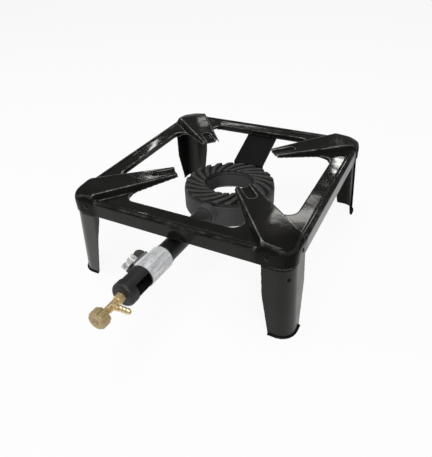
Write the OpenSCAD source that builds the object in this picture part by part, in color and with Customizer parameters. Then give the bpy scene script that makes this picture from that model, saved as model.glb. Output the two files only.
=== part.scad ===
// Outdoor gas burner: square enamelled stand, cast ring burner, air shutter and needle valve.
// Millimetres, +Z up, floor at z = 0, the valve points to -Y.

/* [Top frame] */
// Outer side of the square frame
frame_side = 300; // [240:1:420]
// Depth of the skirt below the rim
skirt_depth = 21; // [14:0.5:40]
// Thickness of the pressed sheet of frame and legs
sheet = 1.5; // [0.8:0.1:2.5]
// Outer radius of the frame corners
corner_radius = 20; // [12:0.5:40]
// Width of a rail from the skirt to the window
rail_width = 24.7; // [18:0.1:45]
// Depth of the window flange below the rim
flange_depth = 8.5; // [5:0.5:16]
// Radius rolled on the outer edge of the rim
rim_round = 4; // [2.5:0.5:8]
// Width of the raised rim
rim_width = 6.5; // [5:0.5:12]
// Step from the rim down to the band of the rail
band_step = 1.2; // [0.4:0.1:3]
// Radius of the window corners
window_radius = 13; // [6:0.5:20]

/* [Fingers] */
// Height of the finger tops above the rim
finger_rise = 7; // [3:0.5:15]
// Distance from the frame centre to a finger tip
finger_tip = 70; // [66:0.5:110]
// Distance of the crease at the corner from the sharp corner of the frame
crease_setback = 34.6; // [24:0.1:50]
// Distance of the brow of the corner slope from the sharp corner of the frame
brow_setback = 18; // [12:0.1:22]
// Drop of that brow below the finger tops
brow_drop = 2.4; // [1:0.1:3]
// Distance of the heel of the corner slope from the sharp corner of the frame
heel_setback = 6.1; // [5:0.1:8]
// Top width of a finger at its tip
finger_tip_width = 22; // [14:0.5:40]
// Top width of a finger at the crease
finger_root_width = 44; // [24:0.5:70]
// Lean of the finger sides from upright
finger_lean = 25; // [5:1:40]
// Depth of the finger side wall at the tip
finger_tip_wall = 4.3; // [2:0.1:10]
// Distance from the sharp corner of the window square to where the finger sides leave the band
neck_setback = 52.2; // [44:0.1:60]
// Length over which the window flange fades out along a finger
flange_fade = 21; // [8:1:40]
// Width of the pressed groove at a finger tip
groove_width = 12; // [5:0.5:16]
// Length of the pressed groove
groove_length = 32; // [10:1:60]
// Depth of the pressed groove
groove_depth = 3; // [1:0.5:6]
// Inset of the corner slopes from the skirt face
slope_inset = 1; // [0.5:0.1:3]
// Steepness of those slopes
slope_steep = 68; // [45:1:80]

/* [Legs] */
// Height of the skirt's lower edge above the floor
leg_height = 97.5; // [60:0.5:300]
// Gap between the skirt and a leg
leg_gap = 0.2; // [0.1:0.1:1]
// Outward splay of a leg along the diagonal
leg_splay = 4.8; // [0:0.1:8]
// Radius on the fold of a leg
leg_fold = 18; // [8:0.5:25]
// Width of a leg wing that faces left or right, at the top
leg_side_width = 43; // [34:0.5:70]
// Width of a leg wing that faces the valve or the rear, at the top
leg_front_width = 35; // [34:0.5:70]
// Width of a leg wing at the floor
leg_foot_width = 28.2; // [26:0.1:33]
// Length of the untapered part of a leg below the skirt
leg_straight = 40; // [0:1:50]
// Gap between the leg tops and the underside of the rail
leg_top_gap = 3; // [0.5:0.5:10]
// Inner radius of the bend of the foot lip
lip_bend = 1; // [0.5:0.1:4]
// Flat of the foot lip beyond its bend
lip_flat = 1.2; // [0.5:0.1:8]
// Diameter of the dimple in the fold of a leg
dimple_diameter = 4; // [2:0.5:8]
// Depth of that dimple
dimple_depth = 0.8; // [0.3:0.1:1]
// Distance of that dimple below the skirt
dimple_drop = 14; // [5:0.5:30]
// Distance of a leg rivet from the frame corner
leg_rivet_offset = 29; // [22:0.5:36]
// Height of a leg rivet above the skirt's lower edge
leg_rivet_height = 11; // [5:0.5:15]

/* [Fasteners] */
// Shank diameter of the rivets
rivet_shank = 3.2; // [2:0.1:5]
// Head diameter of the rivets
rivet_head = 6.4; // [4:0.1:9]
// Head height of the leg rivets
rivet_dome = 1.2; // [0.6:0.1:3]
// Head height of the strap and hanger rivets
tab_rivet_dome = 0.6; // [0.4:0.1:2]
// Radial clearance of fixed fasteners in their holes
hole_clearance = 0.05; // [0.02:0.01:0.2]
// Shank diameter of the strap bolts and the hanger screw
bolt_shank = 5; // [3:0.5:8]
// Width across flats of the strap bolts
bolt_hex = 8; // [7:0.5:13]
// Head height of the strap bolts
bolt_head = 3.5; // [2:0.5:6]
// Length of the strap bolts under the head
bolt_length = 7; // [5:0.5:8]
// Head height of the hanger screw
hanger_screw_head = 1.8; // [1:0.1:4]
// Diameter of the cap grub screws
grub_diameter = 4; // [3:0.5:6]
// Length of the cap grub screws
grub_length = 6; // [4:0.5:8]

/* [Straps] */
// Thickness of the rear strap and the front hanger
strap_thickness = 2; // [1.5:0.1:4]
// Width of the rear strap
strap_width = 48; // [20:1:70]
// Spacing of the two strap bolts
strap_bolt_spacing = 24; // [14:1:40]
// Spacing of the two strap rivets
strap_rivet_spacing = 30; // [14:1:44]
// Gap between the top of the strap's slope and the window flange
strap_under = 2.1; // [1:0.1:5]
// Gap between the rear of the bowl and the strap
strap_standoff = 0.65; // [0.5:0.05:4]
// Drop of the strap's lower bend below the skirt's lower edge
strap_drop = 11.2; // [4:0.1:20]
// Length of the strap's lower tab
strap_lower_tab = 25.5; // [20:0.5:40]
// Gap between a strap tab and the window flange
strap_gap = 0.1; // [0.05:0.05:0.5]
// Width of the front hanger
hanger_width = 24; // [16:1:40]
// Spacing of the two hanger rivets
hanger_rivet_spacing = 14; // [10:1:24]
// Height of the hanger pad above the skirt's lower edge
hanger_height = -3; // [-5:0.5:2]
// Distance of the hanger screw from the window flange
hanger_screw_inset = 13.3; // [11:0.1:20]
// Length of the hanger pad beyond its screw
hanger_end = 7.5; // [5:0.5:12]

/* [Burner ring] */
// Distance of the ring centre behind the frame centre
ring_back = 7.5; // [0:0.5:20]
// Height of the rib tops above the tube axis
ring_rise = 16; // [12:0.5:40]
// Outer diameter of the bowl
bowl_diameter = 128.5; // [110:0.5:130]
// Depth of the bowl below its rim
bowl_depth = 33; // [28:0.5:60]
// Wall thickness of the bowl
bowl_wall = 4; // [3:0.5:6]
// Radius of the round under the bowl
bowl_round = 7; // [5:0.5:10]
// Diameter of the centre hole at its lower end
centre_hole = 50; // [40:1:56]
// Height of the lower end of the centre hole below the bowl's rim
centre_depth = 14; // [10:0.5:20]
// Slope of the centre hole, radius gained per unit of height
centre_flare = 0.558; // [0.2:0.002:0.7]
// Setback of the cap edge from the outside of the bowl
cap_setback = 0.75; // [0.5:0.05:3]
// Thickness of the cap plate
cap_plate = 2.5; // [2:0.5:5]
// Height of the ribs above the cap plate
rib_height = 4; // [2:0.5:7]
// Number of swirl ribs
rib_count = 22; // [12:1:26]
// Thickness of a swirl rib
rib_thickness = 5.4; // [3:0.1:7]
// Radius of the curve of a swirl rib
rib_curve = 59.6; // [50:0.1:80]
// Distance from the ring centre to the centre of that curve
rib_curve_offset = 45.6; // [36:0.1:60]
// Gap between the inner rib ends and the edge of the centre hole
rib_inner_gap = 1; // [0:0.1:4]
// Setback of the outer rib ends from the cap edge
rib_edge_gap = 0.4; // [0.2:0.1:2]
// Chamfer on the outer rib ends
rib_chamfer = 1.5; // [0.5:0.1:3]
// Diameter of the flame ports
port_diameter = 2.4; // [1:0.1:4]
// Radius of the ring of flame ports
port_radius = 46; // [42:0.5:54]
// Depth of the cap's locating ring
cap_spigot_depth = 5.5; // [5:0.5:8]
// Thickness of the cap's locating ring
cap_spigot_wall = 3; // [2:0.5:6]
// Radial clearance of the cap's locating ring in the bowl
cap_clearance = 0.3; // [0.1:0.05:1]
// Width of the bowl lug behind the strap
lug_width = 44; // [36:1:60]
// Height of the bowl lug
lug_height = 18; // [12:0.5:24]
// Drop of the lug's top below the bend of the strap
lug_drop = 7.9; // [6:0.1:14]

/* [Burner tube] */
// Drop of the tube axis at the frame centre below the skirt's lower edge
axis_drop = 23.1; // [20:0.1:40]
// Upward tilt of the tube towards the valve
tube_tilt = 2.8; // [0:0.1:6]
// Outer diameter of the tube
tube_diameter = 24.4; // [16:0.1:40]
// Wall thickness of the tube
tube_wall = 2.2; // [1:0.1:4]
// Distance of the inner tube end from the side of the bowl
tube_standoff = 3.25; // [2:0.25:8]
// Distance of the outer tube end from the frame centre
tube_end = 184; // [160:1:200]
// Outer diameter of the tube socket on the bowl
socket_diameter = 28; // [26.5:0.5:50]
// Depth of that socket
socket_depth = 10; // [6:0.5:20]
// Diameter of the gas passage from the tube into the bowl
socket_bore = 16; // [10:0.5:17]
// Diameter of the hanger boss on the tube
boss_diameter = 15; // [12:0.5:24]

/* [Mixing head] */
// Distance of the inner head end from the frame centre
head_start = 163; // [150:0.5:180]
// Distance of the outer head face from the frame centre
head_end = 241; // [210:0.5:300]
// Diameter of the head where the shutter slides
head_diameter = 26.8; // [26:0.1:44]
// Diameter of the end ring that stops the shutter
head_ring_diameter = 28.8; // [20:0.1:48]
// Length of the end ring
head_ring_length = 12; // [8:0.5:20]
// Radius on the front edge of the end ring
head_round = 4.5; // [1:0.5:6]
// Thickness of the front wall of the head
head_front_wall = 7; // [4:0.5:10]
// Distance of the inner edge of the air windows from the frame centre
window_start = 205.5; // [190:0.5:230]
// Length of the air windows
window_length = 23; // [8:0.5:24]
// Height of the air windows across the head
window_height = 17.4; // [8:0.1:20]
// Turn of the second air window around the head, clear of the shutter screw
window_turn = 203; // [198:1:215]
// Height of that second window across the head
far_window_height = 11; // [6:0.1:13]

/* [Air shutter] */
// Distance of the inner shutter end from the frame centre, air open
shutter_start = 166.5; // [160:0.5:172]
// Length of the shutter
shutter_length = 38; // [26:0.5:44]
// Wall thickness of the shutter
shutter_wall = 0.8; // [0.6:0.1:2]
// Radial running clearance of the shutter on the head
shutter_clearance = 0.05; // [0.02:0.01:0.1]
// Angle of the screw pad from the top, towards -X
pad_angle = 56; // [0:1:90]
// Width of the screw pad
pad_width = 10; // [7:0.5:14]
// Height of the top of the screw pad above the shutter
pad_rise = 2.8; // [1:0.1:6]
// Clearance of the pad over the end ring of the head
pad_clearance = 0.35; // [0.3:0.05:1]
// Distance of the inner pad end from the inner shutter end
pad_inset = 13.5; // [8:0.5:20]
// Length of the screw pad
pad_length = 31; // [20:0.5:40]
// Distance of the wing screw from the frame centre
wing_position = 197.5; // [186:0.5:202]
// Shank diameter of the wing screw
wing_shank = 4; // [3:0.5:6]
// Radial running clearance of the turning screw and spindle
turn_clearance = 0.05; // [0.02:0.01:0.1]
// Hub diameter of the wing screw
wing_hub = 9.6; // [6:0.2:12]
// Hub height of the wing screw
wing_hub_height = 7.6; // [4:0.1:10]
// Gap under the hub and in front of the screw tip
wing_gap = 0.3; // [0.2:0.1:1]
// Reach of the flat wing from the screw axis
wing_reach = 16.5; // [12:0.5:24]
// Reach of the round wing from the screw axis
round_reach = 18.6; // [14:0.1:24]
// Height of a wing
wing_height = 6.6; // [4:0.1:12]
// Radius of the round wing
wing_round = 8.2; // [5:0.1:9]
// Thickness of a wing
wing_thickness = 2.2; // [1:0.1:4]

/* [Valve] */
// Width across flats of the valve hexagon
valve_hex = 10.5; // [9:0.5:16]
// Length of the valve hexagon
valve_hex_length = 7; // [4:0.5:12]
// Diameter of the valve barrel
valve_barrel = 8.6; // [8:0.1:12]
// Length of the valve barrel
valve_barrel_length = 14; // [13:0.5:20]
// Diameter of the valve shank in the head
valve_shank = 8; // [6:0.5:12]
// Length of the valve shank behind the hexagon
valve_shank_length = 10; // [9:0.5:14]
// Bore of the valve chamber
valve_bore = 5.2; // [4.8:0.1:5.8]
// Diameter of the gas passage
gas_passage = 2; // [1.2:0.1:2.4]
// Distance of the hose nozzle from the head face
nozzle_offset = 14; // [12:0.5:15]
// Width across flats of the locknut
locknut_hex = 12; // [10:0.5:17]
// Height of the locknut
locknut_height = 2.8; // [2:0.1:5]
// Diameter of the gas jet
jet_diameter = 6; // [4:0.1:8]
// Length of the gas jet
jet_length = 6; // [4:0.5:8]
// Diameter of the jet orifice
jet_orifice = 1; // [0.5:0.1:2]
// Width across flats of the gland nut
gland_hex = 7; // [6.5:0.5:10]
// Length of the gland nut
gland_length = 3.2; // [2.5:0.1:6]
// Depth of the gland nut's collar in the valve
gland_collar = 0.8; // [0.5:0.1:1.5]

/* [Hose nozzle] */
// Diameter over the barbs
barb_diameter = 6.8; // [5:0.1:10]
// Diameter between the barbs
barb_root = 5.6; // [4.6:0.1:8]
// Bore of the nozzle
nozzle_bore = 2.8; // [1.6:0.1:3.2]
// Diameter of the nozzle seat in the valve
nozzle_seat = 4.6; // [4.2:0.1:5]
// Diameter of the side boss on the valve
nozzle_boss = 7.8; // [7.6:0.1:9]
// Distance of the boss face from the valve axis
nozzle_boss_reach = 5.5; // [5:0.5:8]
// Length of a barb land
barb_land = 1.2; // [0.6:0.1:2]
// Pitch of the barbs
barb_pitch = 4.2; // [3:0.1:6]
// Distance of the first barb from the boss face
barb_start = 3.6; // [3:0.1:8]
// Number of barbs
barb_count = 3; // [2:1:4]
// Length of the nozzle tip beyond the last barb
nozzle_tip = 3; // [2:0.1:6]

/* [Spindle and knob] */
// Diameter of the spindle
spindle_diameter = 3.6; // [3.2:0.1:4]
// Diameter of the needle stem
needle_diameter = 2.2; // [1.6:0.1:2.6]
// Length of the needle cone
needle_cone = 2.5; // [2:0.1:4]
// Travel of the spindle from closed to open
needle_lift = 2; // [1:0.1:3]
// Diameter of the stem seal's section
seal_section = 1.2; // [0.8:0.1:1.4]
// Diameter of the control knob
knob_diameter = 20.5; // [16:0.5:36]
// Length of the knob rim
knob_length = 11.5; // [8:0.1:24]
// Distance of the knob's back from the gland nut
knob_gap = 3.5; // [1:0.1:6]
// Radius on the front edge of the knob
knob_round = 2.5; // [1:0.5:4]
// Number of finger hollows around the knob
knob_flutes = 8; // [5:1:12]
// Radius of a finger hollow
flute_radius = 3.4; // [2:0.1:6]
// Depth of a finger hollow
flute_depth = 1.5; // [0.5:0.1:3]
// Diameter of the knob screw head
knob_screw_head = 5.5; // [4:0.5:9]
// Depth of the recess for the knob screw
knob_recess = 1.6; // [1:0.1:3]

/* [Hidden] */
$fn = 96;
half_side = frame_side / 2;
rim_z = leg_height + skirt_depth;
axis_height = leg_height - axis_drop;
band_z = rim_z - band_step;
band_under = band_z - sheet;
flange_z = rim_z - flange_depth;
top_z = rim_z + finger_rise;
inner = half_side - rail_width;
root2 = sqrt(2);
corner_reach = half_side * root2;
finger_crease = corner_reach - crease_setback;
finger_brow = corner_reach - brow_setback;
finger_heel = corner_reach - heel_setback;
finger_neck = inner * root2 - neck_setback;
lean = tan(finger_lean);
taper = (finger_root_width - finger_tip_width) / 2 / (finger_crease - finger_tip);
taper_angle = atan(taper);
finger_base = finger_tip_width / 2 + lean * (top_z - band_z);
corner_u = (root2 * (inner - window_radius) - finger_base + finger_tip * taper
    - window_radius / cos(taper_angle)) / (1 + taper);
corner_v = root2 * (inner - window_radius) - corner_u;
heel_z = rim_z - 0.4;
leg_face = half_side - sheet - leg_gap;
leg_top = band_under - leg_top_gap;
lip_height = lip_bend + sheet;
leg_kink = leg_height - leg_straight;
foot_shift = (leg_height - lip_height) * tan(leg_splay) / root2;
foot_reach = leg_face + foot_shift + lip_bend + lip_flat;
cap_z = ring_rise - rib_height - cap_plate;
bowl_radius = bowl_diameter / 2;
bowl_floor = cap_z - bowl_depth;
hole_z = cap_z - centre_depth;
strap_reach = ring_back + bowl_radius + strap_standoff;
strap_bend_z = leg_height - strap_drop;
lug_top = strap_bend_z - lug_drop;
strap_bolt_z = lug_top - lug_height / 2;
hanger_z = leg_height + hanger_height;
hanger_screw_offset = inner - hanger_screw_inset;
bowl_front = bowl_radius - ring_back;
tube_start = bowl_front + tube_standoff;
socket_end = tube_start + socket_depth;
socket_back = bowl_front - 3 * bowl_wall;
head_radius = head_diameter / 2;
shutter_inner = head_radius + shutter_clearance;
shutter_outer = shutter_inner + shutter_wall;
pad_top = shutter_outer + pad_rise;
pad_start = shutter_start + pad_inset;
valve_front = head_end + valve_hex_length;
gland_start = valve_front + valve_barrel_length;
knob_back = gland_start + gland_length + knob_gap;
knob_front = knob_back + knob_length;
seal_position = gland_start - gland_collar - 0.25 - needle_lift - seal_section / 2;
valve_seat = valve_front + 1.2;
strap_tab = inner + sheet + strap_gap;
tab_rivet_z = (flange_z + band_under) / 2;
valve_reach = (knob_front - knob_round) * cos(tube_tilt)
    + (knob_diameter / 2 - knob_round) * sin(tube_tilt) + knob_round;
frame_y = (valve_reach - foot_reach) / 2;
enamel = [0.03, 0.03, 0.035];
iron = [0.09, 0.09, 0.09];
dark_steel = [0.06, 0.06, 0.06];
pale_metal = [0.72, 0.73, 0.74];
brass = [0.72, 0.56, 0.30];

function side_half(u) = finger_base + (u - finger_tip) * taper;

// Places children that are drawn around the centre of the frame.
module placed() {
    translate([0, frame_y, 0])
        children();
}

// Places children along the burner axis: local z runs from the frame centre to the valve, local y up.
module on_axis() {
    translate([0, frame_y, axis_height])
        rotate([90 - tube_tilt, 0, 0])
            children();
}

// Places children around the ring centre: local z stands square to the tube axis.
module on_ring() {
    on_axis()
        translate([0, 0, -ring_back])
            rotate([-90, 0, 0])
                children();
}

module corners() {
    for (turn = [0:3])
        rotate(turn * 90)
            children();
}

module rounded_square(side, radius) {
    square([side, side - 2 * radius], center = true);
    square([side - 2 * radius, side], center = true);
    for (x = [-1, 1], y = [-1, 1])
        translate([x * (side / 2 - radius), y * (side / 2 - radius)])
            circle(r = radius);
}

// Cuts off the sharp end of a window beside a finger, up to the chord of its corner round.
module window_end(grow) {
    round_r = window_radius + grow;
    near = [corner_u + round_r * sin(taper_angle), corner_v - round_r * cos(taper_angle)];
    far = [corner_u + round_r / root2, corner_v + round_r / root2];
    polygon([
        near,
        far,
        far + [20, 20],
        near + [60, 0],
        near + [4, -8]
    ]);
}

// Outline of the openings inside the rails, grown by an amount.
module window_outline(grow) {
    difference() {
        square(2 * (inner + grow), center = true);
        corners()
            rotate(45) {
                polygon([
                    [finger_tip, -side_half(finger_tip) + grow],
                    [half_side * 2, -side_half(half_side * 2) + grow],
                    [half_side * 2, side_half(half_side * 2) - grow],
                    [finger_tip, side_half(finger_tip) - grow]
                ]);
                window_end(grow);
                mirror([0, 1])
                    window_end(grow);
            }
    }
    corners()
        rotate(45)
            for (side = [-1, 1])
                translate([corner_u, side * corner_v])
                    circle(r = window_radius + grow);
}

module rim_profile() {
    square([sheet, skirt_depth - rim_round]);
    translate([rim_round, skirt_depth - rim_round])
        intersection() {
            difference() {
                circle(r = rim_round);
                circle(r = rim_round - sheet);
            }
            translate([-rim_round, 0])
                square(rim_round);
        }
    translate([rim_round, skirt_depth - sheet])
        square([rim_width - rim_round, sheet]);
}

module rim() {
    straight = frame_side - 2 * corner_radius;
    corners() {
        translate([half_side, straight / 2, leg_height])
            rotate([90, 0, 0])
                linear_extrude(straight)
                    mirror([1, 0])
                        rim_profile();
        translate([half_side - corner_radius, half_side - corner_radius, leg_height])
            rotate_extrude(angle = 90)
                translate([corner_radius, 0])
                    mirror([1, 0])
                        rim_profile();
    }
}

module band() {
    neck_half = side_half(finger_neck) + sheet;
    translate([0, 0, band_under])
        linear_extrude(sheet)
            difference() {
                rounded_square(frame_side - 2 * (rim_width - sheet), corner_radius - rim_width + sheet);
                window_outline(0);
                corners()
                    rotate(45)
                        translate([0, -neck_half])
                            square([finger_neck, 2 * neck_half]);
            }
}

module window_flange() {
    difference() {
        translate([0, 0, flange_z])
            linear_extrude(band_z - flange_z)
                difference() {
                    window_outline(sheet);
                    window_outline(0);
                }
        corners()
            rotate(45)
                rotate([90, 0, 0])
                    linear_extrude(finger_root_width + 1.4 * window_radius, center = true)
                        polygon([
                            [finger_tip - 5, flange_z - 1],
                            [finger_neck + flange_fade + 3, flange_z - 1],
                            [finger_neck, band_under],
                            [finger_neck, rim_z],
                            [finger_tip - 5, rim_z]
                        ]);
    }
}

// Half space beside one side of a finger, inset by an amount.
module finger_side(inset) {
    tall = skirt_depth + finger_rise;
    translate([finger_tip, finger_base, band_z])
        rotate(taper_angle)
            rotate([90, 0, 90])
                translate([-inset / cos(finger_lean), 0, -finger_tip / 2])
                    linear_extrude(corner_reach)
                        polygon([
                            [tall * lean, -tall],
                            [-tall * lean, tall],
                            [-half_side, tall],
                            [-half_side, -tall]
                        ]);
}

// Half space under the slope that rises from the rim beside a corner, inset by an amount.
module rim_slope(inset) {
    face = half_side - slope_inset - inset;
    foot = rim_z - 0.5 - inset * (1 - sin(slope_steep)) / cos(slope_steep);
    climb = 2 * finger_rise + 1;
    translate([0, half_side * 1.1, 0])
        rotate([90, 0, 0])
            linear_extrude(half_side * 1.3)
                polygon([
                    [-60, leg_height],
                    [face, leg_height],
                    [face, foot],
                    [face - climb / tan(slope_steep), foot + climb],
                    [-60, foot + climb]
                ]);
}

// One pressed finger at the +X +Y corner as a solid; an inset gives the hollow under the sheet.
module finger_solid(inset) {
    intersection() {
        rotate(45)
            intersection() {
                finger_side(inset);
                mirror([0, 1, 0])
                    finger_side(inset);
                rotate([90, 0, 0])
                    linear_extrude(frame_side, center = true)
                        if (inset > 0)
                            polygon([
                                [finger_tip - 5, band_under - 0.2],
                                [finger_tip - 5, top_z - inset],
                                [finger_crease - inset * 0.07, top_z - inset],
                                [finger_brow - inset * 0.28, top_z - brow_drop - inset],
                                [finger_heel, heel_z - inset],
                                [finger_heel, band_under - 0.2]
                            ]);
                        else
                            polygon([
                                [finger_tip, top_z - finger_tip_wall],
                                [finger_tip, top_z],
                                [finger_crease, top_z],
                                [finger_brow, top_z - brow_drop],
                                [finger_heel, heel_z],
                                [finger_heel, band_under],
                                [finger_neck, band_under]
                            ]);
            }
        rim_slope(inset);
        mirror([1, -1, 0])
            rim_slope(inset);
        translate([0, 0, leg_height])
            linear_extrude(skirt_depth + 2 * finger_rise)
                rounded_square(
                    frame_side - 2 * (slope_inset + inset),
                    corner_radius - slope_inset - inset
                );
    }
}

// Pressed groove at a finger tip, grown by an amount for its sheet.
module groove(grow) {
    rotate(45)
        translate([0, 0, top_z - groove_depth - grow])
            linear_extrude(grow > 0 ? groove_depth + grow : groove_depth + 5) {
                translate([finger_tip - 5, -groove_width / 2 - grow])
                    square([groove_length - groove_width / 2 + 5, groove_width + 2 * grow]);
                translate([finger_tip + groove_length - groove_width / 2, 0])
                    circle(r = groove_width / 2 + grow);
            }
}

module leg_rivet_holes(depth) {
    for (turn = [0:3])
        rotate(turn * 90)
            for (swap = [0, 1])
                mirror([swap, -swap, 0])
                    translate([half_side, half_side - leg_rivet_offset, leg_height + leg_rivet_height])
                        rotate([0, -90, 0])
                            translate([0, 0, -1])
                                cylinder(r = rivet_shank / 2 + hole_clearance, h = depth);
}

module tab_rivet_holes(spacing, depth) {
    for (side = [-1, 1])
        translate([side * spacing / 2, inner - 1, tab_rivet_z])
            rotate([-90, 0, 0])
                cylinder(r = rivet_shank / 2 + hole_clearance, h = depth);
}

module top_frame() {
    color(enamel)
        placed()
            difference() {
                union() {
                    difference() {
                        union() {
                            rim();
                            band();
                            window_flange();
                            corners()
                                finger_solid(0);
                        }
                        corners()
                            finger_solid(sheet);
                    }
                    corners()
                        intersection() {
                            groove(sheet);
                            finger_solid(0);
                        }
                }
                corners()
                    groove(0);
                leg_rivet_holes(sheet + 2);
                tab_rivet_holes(strap_rivet_spacing, sheet + 2);
                rotate(180)
                    tab_rivet_holes(hanger_rivet_spacing, sheet + 2);
            }
}

// Outline of a leg's folded sheet seen from above at the +X +Y corner.
module leg_outline() {
    fold = leg_face - leg_fold;
    translate([leg_face - sheet, leg_face - leg_side_width])
        square([sheet, leg_side_width - leg_fold]);
    translate([leg_face - leg_front_width, leg_face - sheet])
        square([leg_front_width - leg_fold, sheet]);
    translate([fold, fold])
        intersection() {
            difference() {
                circle(r = leg_fold);
                circle(r = leg_fold - sheet);
            }
            square(leg_fold);
        }
}

// Trims the free edge of the wing that faces +X to its taper.
module leg_taper(width) {
    edge_foot = leg_face - leg_foot_width;
    edge_top = leg_face - width;
    slope = (edge_foot - edge_top) / leg_kink;
    translate([leg_face - leg_fold, 0, 0])
        rotate([90, 0, 90])
            linear_extrude(leg_fold + 10)
                polygon([
                    [edge_top - 5, -20],
                    [edge_foot + slope * 20, -20],
                    [edge_top, leg_kink],
                    [edge_top - 5, leg_kink]
                ]);
}

module lip_profile() {
    translate([lip_bend, lip_height])
        intersection() {
            difference() {
                circle(r = lip_height);
                circle(r = lip_bend);
            }
            translate([-lip_height, -lip_height])
                square(lip_height);
        }
    translate([lip_bend, 0])
        square([lip_flat, sheet]);
    translate([-sheet, lip_height])
        square([sheet, 0.6]);
}

module foot_lip() {
    fold = leg_face + foot_shift - leg_fold;
    wing = leg_foot_width - leg_fold;
    translate([fold, fold, 0])
        rotate_extrude(angle = 90)
            translate([leg_fold, 0])
                lip_profile();
    for (swap = [0, 1])
        mirror([swap, -swap, 0])
            translate([leg_face + foot_shift, fold, 0])
                rotate([90, 0, 0])
                    linear_extrude(wing)
                        lip_profile();
}

// One leg at the +X +Y corner.
module leg() {
    difference() {
        union() {
            intersection() {
                translate([leg_face, leg_face, leg_height])
                    rotate(a = leg_splay, v = [1, -1, 0])
                        translate([-leg_face, -leg_face, -leg_height])
                            children();
                translate([0, 0, lip_height])
                    linear_extrude(leg_top)
                        square(half_side * 1.2);
            }
            foot_lip();
        }
        leg_rivet_holes(20);
    }
}

module leg_sheet() {
    difference() {
        translate([0, 0, -5])
            linear_extrude(leg_top + 5)
                leg_outline();
        leg_taper(leg_side_width);
        mirror([1, -1, 0])
            leg_taper(leg_front_width);
        translate([leg_face - leg_fold, leg_face - leg_fold, leg_height - dimple_drop])
            rotate([0, 90, 45])
                translate([0, 0, leg_fold - dimple_depth])
                    cylinder(d = dimple_diameter, h = leg_fold);
    }
}

module leg_at(flip_x, flip_y) {
    color(enamel)
        placed()
            mirror([flip_x, 0, 0])
                mirror([0, flip_y, 0])
                    leg()
                        leg_sheet();
}

module leg_rear_right() {
    leg_at(0, 0);
}

module leg_rear_left() {
    leg_at(1, 0);
}

module leg_front_left() {
    leg_at(1, 1);
}

module leg_front_right() {
    leg_at(0, 1);
}

// Rivet along z: domed head below z = 0, shank up, flat closing head at the grip length.
module rivet(grip, dome) {
    ball = (rivet_head * rivet_head / 4 + dome * dome) / 2 / dome;
    intersection() {
        translate([0, 0, ball - dome])
            sphere(r = ball);
        translate([0, 0, -dome - 1])
            cylinder(d = rivet_head + 4, h = dome + 1);
    }
    cylinder(d = rivet_shank, h = grip + dome / 2);
    translate([0, 0, grip])
        cylinder(d = rivet_head - 1.4, h = dome);
}

module leg_rivets() {
    grip = 2 * sheet + leg_gap + (leg_rivet_height + 3) * tan(leg_splay) / root2 + 0.1;
    color(enamel)
        placed()
            corners()
                for (swap = [0, 1])
                    mirror([swap, -swap, 0])
                        translate([
                            half_side,
                            half_side - leg_rivet_offset,
                            leg_height + leg_rivet_height
                        ])
                            rotate([0, -90, 0])
                                rivet(grip, rivet_dome);
}

module tab_rivets(spacing) {
    for (side = [-1, 1])
        translate([side * spacing / 2, inner, tab_rivet_z])
            rotate([-90, 0, 0])
                rivet(sheet + strap_gap + strap_thickness, tab_rivet_dome);
}

module rear_strap() {
    climb = (flange_z - strap_under - strap_bend_z) / (strap_tab - strap_reach);
    under = strap_thickness * sqrt(1 + climb * climb);
    tab_back = strap_tab + strap_thickness;
    tab_top = band_under - 0.4;
    low_back = strap_reach + strap_thickness;
    color(enamel)
        placed()
            difference() {
                rotate([90, 0, 90])
                    linear_extrude(strap_width, center = true)
                        polygon([
                            [strap_reach, strap_bend_z - strap_lower_tab],
                            [low_back, strap_bend_z - strap_lower_tab],
                            [low_back, strap_bend_z + strap_thickness * climb - under],
                            [tab_back, strap_bend_z + (tab_back - strap_reach) * climb - under],
                            [tab_back, tab_top],
                            [strap_tab, tab_top],
                            [strap_tab, strap_bend_z + (strap_tab - strap_reach) * climb],
                            [strap_reach, strap_bend_z]
                        ]);
                tab_rivet_holes(strap_rivet_spacing, 20);
                strap_bolt_positions()
                    translate([0, 0, -20])
                        cylinder(r = bolt_shank / 2 + hole_clearance, h = 40);
            }
}

// Places children on the rear face of the strap's lower tab, local z to the rear.
module strap_bolt_positions() {
    for (side = [-1, 1])
        translate([side * strap_bolt_spacing / 2, strap_reach + strap_thickness, strap_bolt_z])
            rotate([-90, 0, 0])
                children();
}

module rear_strap_rivets() {
    color(enamel)
        placed()
            tab_rivets(strap_rivet_spacing);
}

module hexagon(flats, height) {
    cylinder(r = flats / 2 / cos(30), h = height, $fn = 6);
}

module rear_strap_bolts() {
    color(dark_steel)
        placed()
            strap_bolt_positions() {
                hexagon(bolt_hex, bolt_head);
                translate([0, 0, -bolt_length])
                    cylinder(d = bolt_shank, h = bolt_length + 1);
            }
}

module front_hanger() {
    tab_back = strap_tab + strap_thickness;
    tab_top = band_under - 0.4;
    pad_end = hanger_screw_offset - hanger_end;
    color(enamel)
        placed()
            rotate(180)
                difference() {
                    rotate([90, 0, 90])
                        linear_extrude(hanger_width, center = true)
                            polygon([
                                [pad_end, hanger_z],
                                [tab_back, hanger_z],
                                [tab_back, tab_top],
                                [strap_tab, tab_top],
                                [strap_tab, hanger_z + strap_thickness],
                                [pad_end, hanger_z + strap_thickness]
                            ]);
                    tab_rivet_holes(hanger_rivet_spacing, 20);
                    translate([0, hanger_screw_offset, hanger_z - 5])
                        cylinder(r = bolt_shank / 2 + hole_clearance, h = 20);
                }
}

module front_hanger_rivets() {
    color(enamel)
        placed()
            rotate(180)
                tab_rivets(hanger_rivet_spacing);
}

module front_hanger_screw() {
    color(dark_steel)
        placed()
            translate([0, -hanger_screw_offset, hanger_z + strap_thickness]) {
                cylinder(d = bolt_shank + 3.5, h = hanger_screw_head);
                translate([0, 0, -strap_thickness - 3.5])
                    cylinder(d = bolt_shank, h = strap_thickness + 4);
            }
}

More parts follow.
